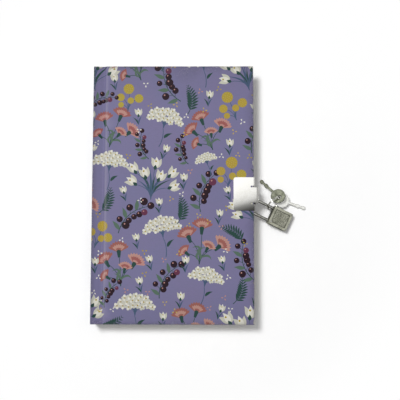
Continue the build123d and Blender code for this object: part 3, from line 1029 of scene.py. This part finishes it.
MATERIALS = {
    "printed_paper": printed_paper(),
    "greyboard": plain_paper("greyboard", ink(172, 164, 150), ink(128, 122, 112), 0.85, 0.7),
    "endpaper": plain_paper("endpaper", ink(242, 236, 222), ink(222, 214, 198)),
    "leaf_edge": plain_paper("leaf_edge", ink(240, 234, 218), ink(214, 206, 188), 0.8),
    "leaves": ruled_paper(),
    "spine_lining": lining_cloth(),
    "bright_nickel": metal("bright_nickel", ink(245, 244, 240), ink(235, 234, 228), 0.2, 0.3, 0.15,
                           relief=0.015, form=bowed_corner),
    "shackle_steel": metal("shackle_steel", ink(222, 222, 214), ink(166, 166, 156), 0.18, 0.3, 0.15,
                           sides=0.95),
    "padlock_steel": metal("padlock_steel", ink(207, 207, 191), ink(161, 162, 146), 0.62, 0.5, 0.6, 0.4,
                           sides=0.94, form=stippled_panel),
    "lock_brass": metal("lock_brass", ink(206, 176, 98), ink(150, 122, 62), 0.3, 0.4, 0.4, 0.15),
    "ring_steel": metal("ring_steel", ink(244, 244, 240), ink(222, 222, 216), 0.18, 0.3, 0.2),
    # The two keys are of one steel: the front key's copy is painted darker as shade, the rear key's painted brighter
    # as lit
    "key_steel": metal("key_steel", ink(124, 126, 112), ink(88, 90, 78), 0.5, 0.5, 0.5, 0.35, sides=0.6),
    "bright_key_steel": metal("bright_key_steel", ink(255, 255, 252), ink(240, 240, 234), 0.58, 0.4, 0.25,
                              0.05, 0.06, sides=0.85),
}


# The printed covers

def finish_piece(obj, slot):
    obj.data.materials.append(MATERIALS[slot])
    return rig.slot(obj, slot)


def fold_line(mirrored):
    """Where a joint's bend starts and ends: just inside the spine, and later for lower layers."""
    start = Vector((crest_x + bend_from, 0, top - bend_start_drop))
    end = Vector((crest_x + bend_to, 0, top - bend_end_drop))
    if mirrored:
        start.z, end.z = top - start.z, top - end.z
    return start * MM, end * MM


front_wrap = finish_piece(printed_wrap("front_and_spine_print", True, False, 11), "printed_paper")
back_wrap = finish_piece(printed_wrap("back_print", False, True, 5), "printed_paper")
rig.replaces(front_wrap, "front_cover_paper", "spine_paper")
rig.replaces(back_wrap, "back_cover_paper")
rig.blend(front_wrap, "spine", "front_cover", *fold_line(False))
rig.blend(back_wrap, "spine", "back_cover", *fold_line(True))


def mesh_piece(name, points, faces):
    """A closed piece from points in mm, with its faces turned outward."""
    crease_angle = 35
    mesh = bpy.data.meshes.new(name)
    mesh.from_pydata([tuple(c * MM for c in p) for p in points], [], faces)
    form = bmesh.new()
    form.from_mesh(mesh)
    bmesh.ops.recalc_face_normals(form, faces=form.faces)
    form.to_mesh(mesh)
    form.free()
    mesh.shade_smooth()
    mesh.set_sharp_from_angle(angle=math.radians(crease_angle))
    return new_object(name, mesh)


def joint_lining(name, mirrored):
    """The strip of endpaper glued under the sheet in a joint, from the spine to the pastedown."""
    steps, thick, under, short_of_ends = 12, 0.16, 0.4, 4.0
    from_spine, under_turn_in, beside_edge, past_edge = 0.15, 0.04, 0.1, 0.3
    sheet = sorted(point[:2] for point in groove_section())
    across = np.linspace(spine_high.x + from_spine, groove_middle, steps)
    level = np.interp(across, [x for x, _ in sheet], [z for _, z in sheet]) - under
    rows = list(zip(across, level))
    rows += [(board_spine_edge + x, turn_in_face - under_turn_in) for x in (-beside_edge, past_edge)]
    outline = rows + [(x, z - thick) for x, z in reversed(rows)]
    count = len(outline)
    reach = face_y - short_of_ends
    points = [(x, side * reach, top - z if mirrored else z) for side in (-1, 1) for x, z in outline]
    faces = [(i, (i + 1) % count, count + (i + 1) % count, count + i) for i in range(count)]
    for i in range(len(rows) - 1):
        quad = (i, i + 1, count - 2 - i, count - 1 - i)
        faces.append(quad[::-1])
        faces.append(tuple(count + k for k in quad))
    return mesh_piece(name, points, faces)


for cover, mirrored in (("front_cover", False), ("back_cover", True)):
    strip = joint_lining(cover.replace("cover", "joint_lining"), mirrored)
    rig.blend(finish_piece(strip, "endpaper"), "spine", cover, *fold_line(mirrored))


# The leaves, gathered in signatures

def gathering_tree():
    """A stack of cut leaves, each a little out of line with the next."""
    tree = bpy.data.node_groups.new("gathering", "GeometryNodeTree")
    inputs = {
        "Leaves": "Int", "Leaf Size": "Vector", "Pitch": "Float", "Unevenness": "Vector", "Seed": "Int",
        "Edge Paper": "Material", "Page Paper": "Material",
    }
    for name, kind in inputs.items():
        tree.interface.new_socket(name, in_out="INPUT", socket_type="NodeSocket" + kind)
    tree.interface.new_socket("Geometry", in_out="OUTPUT", socket_type="NodeSocketGeometry")
    given = tree.nodes.new("NodeGroupInput").outputs
    end = tree.nodes.new("NodeGroupOutput").inputs

    def made(kind, feeds=None, **settings):
        return add(tree, kind, feeds, **settings).outputs[0]

    step = made("ShaderNodeCombineXYZ", {"Z": given["Pitch"]})
    line = made("GeometryNodeMeshLine", {"Count": given["Leaves"], "Offset": step})
    leaf = made("GeometryNodeMeshCube", {"Size": given["Leaf Size"], "Vertices X": 3, "Vertices Y": 3})
    stack = made("GeometryNodeInstanceOnPoints", {"Points": line, "Instance": leaf})
    furthest = given["Unevenness"]
    nearest = made("ShaderNodeVectorMath", {"Vector": furthest, "Scale": -1.0}, operation="SCALE")
    limits = {0: nearest, 1: furthest, "Seed": given["Seed"]}
    slip = made("FunctionNodeRandomValue", limits, data_type="FLOAT_VECTOR")
    loose = made("GeometryNodeTranslateInstances", {"Instances": stack, "Translation": slip})
    solid = made("GeometryNodeRealizeInstances", {"Geometry": loose})
    edged = made("GeometryNodeSetMaterial", {"Geometry": solid, "Material": given["Edge Paper"]})
    facing = split(tree, made("GeometryNodeInputNormal"))["Z"]
    level_from = 0.7
    flat = sums(tree, "GREATER_THAN", sums(tree, "ABSOLUTE", facing, 0.0), level_from)
    pages = {"Geometry": edged, "Selection": flat, "Material": given["Page Paper"]}
    link(tree, made("GeometryNodeSetMaterial", pages), end["Geometry"])
    return tree


def grown(name, tree, **values):
    """The plain mesh that a geometry tree makes from its named inputs."""
    seed_mesh = bpy.data.meshes.new(name + "_seed")
    seed_object = new_object(name + "_seed", seed_mesh)
    modifier = seed_object.modifiers.new("grow", "NODES")
    modifier.node_group = tree
    for socket in tree.interface.items_tree:
        if socket.in_out == "INPUT":
            modifier[socket.identifier] = values[socket.name.lower().replace(" ", "_")]
    mesh = evaluated_mesh(seed_object, name)
    bpy.data.objects.remove(seed_object)
    bpy.data.meshes.remove(seed_mesh)
    return mesh


def evaluated_mesh(obj, name):
    """A plain mesh of an object as its modifiers make it."""
    bpy.context.view_layer.update()
    mesh = bpy.data.meshes.new_from_object(obj.evaluated_get(bpy.context.evaluated_depsgraph_get()))
    mesh.name = name
    return mesh


LEAVES_IN_GATHERING = 16
GATHERING = gathering_tree()


def gathering(number, body):
    """One signature: its cut leaves, and the round folds that hold them together."""
    node = f"signature_{number:02d}"
    low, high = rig.box(node)
    size = high - low
    fold, leaf_share = 0.5 * MM, 0.8
    fore_trim, end_trim = 0.15 * MM, 0.2 * MM
    fore_slip, end_slip = 0.07 * MM, 0.06 * MM
    pitch = size.z / LEAVES_IN_GATHERING
    mesh = grown(
        f"{node}_leaves", GATHERING, leaves=LEAVES_IN_GATHERING, pitch=pitch, seed=number,
        leaf_size=(size.x - fold - fore_trim, size.y - end_trim, pitch * leaf_share),
        unevenness=(fore_slip, end_slip, 0.0),
        edge_paper=MATERIALS["leaf_edge"], page_paper=MATERIALS["leaves"],
    )
    lowest_leaf = ((low.x + fold + high.x) / 2, (low.y + high.y) / 2, low.z + pitch / 2)
    mesh.transform(Matrix.Translation(lowest_leaf))
    add_fold(mesh, low, high, fold)
    obj = new_object(f"{node}_leaves", mesh)
    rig.slot(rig.replaces(obj, node), "leaves")
    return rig.ride(obj, body)


def add_fold(mesh, low, high, fold):
    """The rounded back of a gathering, ribbed along its nested folds."""
    form = bmesh.new()
    form.from_mesh(mesh)
    steps, rib_depth, end_gap, side_gap = 16, 0.06, 0.1 * MM, 0.02 * MM
    middle, half = (low.z + high.z) / 2, (high.z - low.z) / 2 - side_gap
    rings = []
    for y in (low.y + end_gap, high.y - end_gap):
        ring = []
        for i in range(steps + 1):
            a = QUARTER + math.pi * i / steps
            out = fold * (1.0 - rib_depth * (i % 2)) * math.cos(a)
            ring.append(form.verts.new((low.x + fold + out, y, middle + half * math.sin(a))))
        rings.append(ring)
    tail, head = rings
    for i in range(steps):
        form.faces.new((tail[i], tail[i + 1], head[i + 1], head[i]))
    form.faces.new(tail[::-1])
    form.faces.new(head)
    form.faces.new((tail[0], head[0], head[-1], tail[-1]))
    bmesh.ops.recalc_face_normals(form, faces=form.faces)
    form.to_mesh(mesh)
    form.free()


for number in range(1, 11):
    gathering(number, "back_cover" if number <= 5 else "front_leaves")


# Boards and metal pieces, with their edges eased: sizes in mm, angles in degrees

weld_reach = 0.002
flat_angle = 0.6
sharp_angle = 32
board_slant = 2.1
key_rim = 0.36
key_wall = 0.12
key_sink = 0.2
panel_border = 0.6
# Shares of painted shade on a padlock shell's panel border and on its shackle end
border_painted_shade = 0.75
end_painted_shade = 0.75

joints = {joint["name"]: joint for joint in frame["joints"]}
lock_along = Vector(joints["plug_turn"]["axis"])
lock_up = -Vector(joints["shackle_opening"]["axis"])


def slanted_edge(form):
    """Slants a board's edge beside the joint, where the sheet is pressed down over it."""
    heights = [vert.co.z for vert in form.verts]
    outer = max(heights) if min(heights) > top * MM / 2 else min(heights)
    for vert in form.verts:
        if vert.co.z == outer and vert.co.x < (board_spine_edge + board_slant) * MM:
            vert.co.x += board_slant * MM


def sunk_faces(form):
    """Sinks the broad faces of a pressed key inside a flat rim with steep walls."""
    broad_share = 0.25
    largest = max(face.calc_area() for face in form.faces)
    broad = [face for face in form.faces if face.calc_area() > broad_share * largest]
    for width, depth in ((key_rim, 0.0), (key_wall, -key_sink)):
        inset(form, broad, width, depth)


def inset(form, faces, width, depth=0.0):
    bmesh.ops.inset_region(form, faces=faces, thickness=width * MM, depth=depth * MM, use_even_offset=True)


def eased(node, body, slot, width, shape=None):
    """A copy of a solid, given its shape and then with its sharp edges rounded by width, in mm."""
    mesh = frame["nodes"][node].data.copy()
    mesh.materials.clear()
    form = bmesh.new()
    form.from_mesh(mesh)
    bmesh.ops.remove_doubles(form, verts=form.verts, dist=weld_reach * MM)
    flat = math.radians(flat_angle)
    bmesh.ops.dissolve_limit(form, angle_limit=flat, verts=form.verts, edges=form.edges)
    bmesh.ops.recalc_face_normals(form, faces=form.faces)
    if shape:
        shape(form)
    for face in form.faces:
        face.smooth = True
    form.to_mesh(mesh)
    form.free()
    name = node + "_finish"
    obj = new_object(name, mesh)
    bevel = obj.modifiers.new("ease", "BEVEL")
    bevel.width = width * MM
    bevel.segments = 2
    bevel.limit_method = "ANGLE"
    bevel.angle_limit = math.radians(sharp_angle)
    bevel.use_clamp_overlap = True
    evened = obj.modifiers.new("even", "WEIGHTED_NORMAL")
    evened.mode = "FACE_AREA"
    evened.weight = 90
    obj.data = evaluated_mesh(obj, name)
    obj.modifiers.clear()
    finish_piece(obj, slot)
    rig.replaces(obj, node)
    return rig.ride(obj, body)


def note(obj, name, values):
    """Notes a value for each face of a piece, for its material to read."""
    obj.data.attributes.new(name, "FLOAT", "FACE").data.foreach_set("value", values)


def note_sides(obj, low, high):
    """Notes how far each face of a flat piece is turned to its side, between two cosines, where its material paints
    shade.
    """
    co = np.array([tuple(v.co) for v in obj.data.vertices])
    axis = Vector(np.linalg.svd(co - co.mean(0), full_matrices=False)[2][2])
    level = [abs(face.normal.dot(axis)) for face in obj.data.polygons]
    note(obj, "side", [1 - min(max((value - low) / (high - low), 0), 1) for value in level])


def sunk_panel(faces, areas, outward):
    """The largest face of a padlock shell that looks outward."""
    straight_out = 0.95
    facing = [pair for pair in zip(areas, faces) if pair[1].normal.dot(lock_up) * outward > straight_out]
    return max(facing, key=lambda pair: pair[0])[1]


def padlock_shell(node, outward):
    """A padlock shell whose sides, shackle end and panel's border are noted for painted shade."""
    flush, turned_to_end, turned_to_side = 0.01 * MM, -0.3, 0.5

    def bordered(form):
        areas = [face.calc_area() for face in form.faces]
        inset(form, [sunk_panel(form.faces, areas, outward)], panel_border)

    obj = eased(node, "padlock_case", "padlock_steel", 0.18, bordered)
    faces = obj.data.polygons
    panel = sunk_panel(faces, [face.area for face in faces], outward)
    # Painted shade, by share: the panel's flat border ring, the shackle end and the sides
    side = []
    for face in faces:
        level = abs((face.center - panel.center).dot(lock_up)) < flush
        if level and face.index != panel.index:
            side.append(border_painted_shade)
        elif face.normal.dot(lock_along) < turned_to_end:
            side.append(end_painted_shade)
        else:
            side.append(float(abs(face.normal.dot(lock_up)) < turned_to_side))
    note(obj, "side", side)
    note(obj, "panel", [float(face.index == panel.index) for face in faces])


def split_ring(node, body, slot):
    """A ring of flattened wire coiled twice, with the step where one coil crosses to the other."""
    co = np.array([tuple(v.co) for v in frame["nodes"][node].data.vertices])
    centre = co.mean(0)
    across, along, axis = np.linalg.svd(co - centre, full_matrices=False)[2]
    far = np.hypot((co - centre) @ across, (co - centre) @ along)
    radius, wire = (far.max() + far.min()) / 2, (far.max() - far.min()) / 2
    steps, sides, step_at, step_wide = 180, 12, 1.2, 0.5
    half_wide, half_tall, squareness = wire * 0.81, wire * 0.45, 0.35
    turns = 2 * math.tau - step_wide
    points, faces = [], []
    for i in range(steps + 1):
        a = turns * i / steps
        t = min(max((a - math.tau + step_wide) / step_wide, 0), 1)
        rise = wire / 2 * (2 * t * t * (3 - 2 * t) - 1)
        out = math.cos(a + step_at) * across + math.sin(a + step_at) * along
        for j in range(sides):
            wide, tall = math.cos(math.tau * j / sides), math.sin(math.tau * j / sides)
            flat = max(abs(wide), abs(tall)) ** squareness
            outward = out * (radius + half_wide * wide / flat)
            upward = axis * (rise + half_tall * tall / flat)
            points.append(tuple((centre + outward + upward) / MM))
    for i in range(steps):
        for j in range(sides):
            a, b = i * sides + j, i * sides + (j + 1) % sides
            faces.append((a, b, b + sides, a + sides))
    faces += [tuple(range(sides)), tuple(steps * sides + j for j in range(sides))]
    obj = finish_piece(mesh_piece("split_ring", points, faces), slot)
    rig.replaces(obj, node)
    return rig.ride(obj, body)


eased("front_board", "front_cover", "greyboard", 0.4, slanted_edge)
eased("back_board", "back_cover", "greyboard", 0.4, slanted_edge)
eased("front_hasp_plate", "front_cover", "bright_nickel", 0.16)
eased("back_hasp_plate", "back_cover", "bright_nickel", 0.16)
note_sides(eased("shackle", "shackle", "shackle_steel", 0.12), 0.6, 0.97)
padlock_shell("padlock_case_front", 1.0)
padlock_shell("padlock_case_back", -1.0)
for key, steel in (("front_key", "key_steel"), ("rear_key", "bright_key_steel")):
    note_sides(eased(key, key, steel, 0.1, sunk_faces), 0.6, 0.9)
split_ring("key_ring", "key_ring", "ring_steel")


# Solids that show as they are

SLOT_NODES = {
    "greyboard": ("spine_board",),
    "endpaper": ("front_pastedown", "back_pastedown", "front_flyleaf", "back_flyleaf"),
    "spine_lining": ("front_spine_lining", "back_spine_lining"),
    "shackle_steel": ("heel_pin", "case_rivets"),
    "lock_brass": ("lock_plug", "lock_cam"),
}
for slot, nodes in SLOT_NODES.items():
    for node in nodes:
        frame["nodes"][node].data.materials.clear()
        frame["nodes"][node].data.materials.append(MATERIALS[slot])


# Floor, light and camera

def pale_table():
    """Matt white board that fades to plain white for the camera, away from the object."""
    material, tree, shader = new_material("pale_table")
    light, dark = (0.96, 0.96, 0.96, 1.0), (0.93, 0.93, 0.93, 1.0)
    fade_from, fade_to = 0.13, 0.22
    paper = grouped(tree, PAPER_FIBRE, Colour=light, Shade=dark, Grain=1.0)
    link(tree, paper["Colour"], shader.inputs["Base Color"])
    shader.inputs["Roughness"].default_value = 0.8
    shader.inputs["Specular IOR Level"].default_value = 0.1
    shader.inputs["Emission Color"].default_value = (1, 1, 1, 1)
    shader.inputs["Emission Strength"].default_value = 0.04
    away = add(tree, "ShaderNodeVectorMath", {0: object_place(tree)}, operation="LENGTH").outputs["Value"]
    seen = add(tree, "ShaderNodeLightPath").outputs["Is Camera Ray"]
    share = sums(tree, "MULTIPLY", stepped(tree, away, fade_from, fade_to), seen)
    white = add(tree, "ShaderNodeEmission").outputs["Emission"]
    faded = add(tree, "ShaderNodeMixShader", {0: share, 1: shader.outputs["BSDF"], 2: white})
    link(tree, faded.outputs["Shader"], tree.nodes["Material Output"].inputs["Surface"])
    return material


def floor_plane():
    half, z = 3.0, -0.0002
    mesh = bpy.data.meshes.new("floor")
    corners = [(-half, -half, z), (half, -half, z), (half, half, z), (-half, half, z)]
    mesh.from_pydata(corners, [], [(0, 1, 2, 3)])
    mesh.materials.append(pale_table())
    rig.stage(new_object("floor", mesh))


def window_light():
    light = bpy.data.lights.new("window_light", "AREA")
    light.size = 0.62
    light.energy = 51
    obj = new_object("window_light", light)
    obj.location = (-0.76, 0.69, 2.43)
    obj.rotation_euler = (-obj.location).to_track_quat("-Z", "Y").to_euler()


def studio_air():
    """Light from overhead, dim walls that only metal mirrors, and a white surround for the camera."""
    world = bpy.data.worlds.new("studio")
    world.use_nodes = True
    air = world.node_tree
    falloff, lowest, wall_light = 4.0, 0.03, 0.35
    height = split(air, add(air, "ShaderNodeTexCoord").outputs["Generated"])["Z"]
    overhead = spread(air, sums(air, "POWER", sums(air, "MAXIMUM", height, 0.0), falloff), lowest, 1.0)
    path = add(air, "ShaderNodeLightPath").outputs
    walls = sums(air, "MULTIPLY", stepped(air, height, 0.02, 0.2), wall_light)
    mirrored_walls = sums(air, "MULTIPLY", walls, path["Is Glossy Ray"])
    light = sums(air, "MAXIMUM", overhead, sums(air, "MAXIMUM", mirrored_walls, path["Is Camera Ray"]))
    link(air, light, air.nodes["Background"].inputs["Strength"])
    air.nodes["Background"].inputs["Color"].default_value = (1, 1, 1, 1)
    bpy.context.scene.world = world


floor_plane()
window_light()
studio_air()

lens = bpy.data.cameras.new("camera")
lens.lens = 66.33
lens.sensor_width = 36.0
camera = new_object("camera", lens)
camera.location = (0.02872, -0.06223, 0.6125)
camera.rotation_euler = Euler((math.radians(5.48), math.radians(0.63), math.radians(0.11)), "XYZ")
bpy.context.scene.camera = camera
bpy.context.scene.view_settings.view_transform = "Standard"

visual_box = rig.bounds()
with open("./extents.json", "w") as size_file:
    json.dump({"cad": [list(v) for v in cad_box], "visual": [list(v) for v in visual_box]}, size_file)
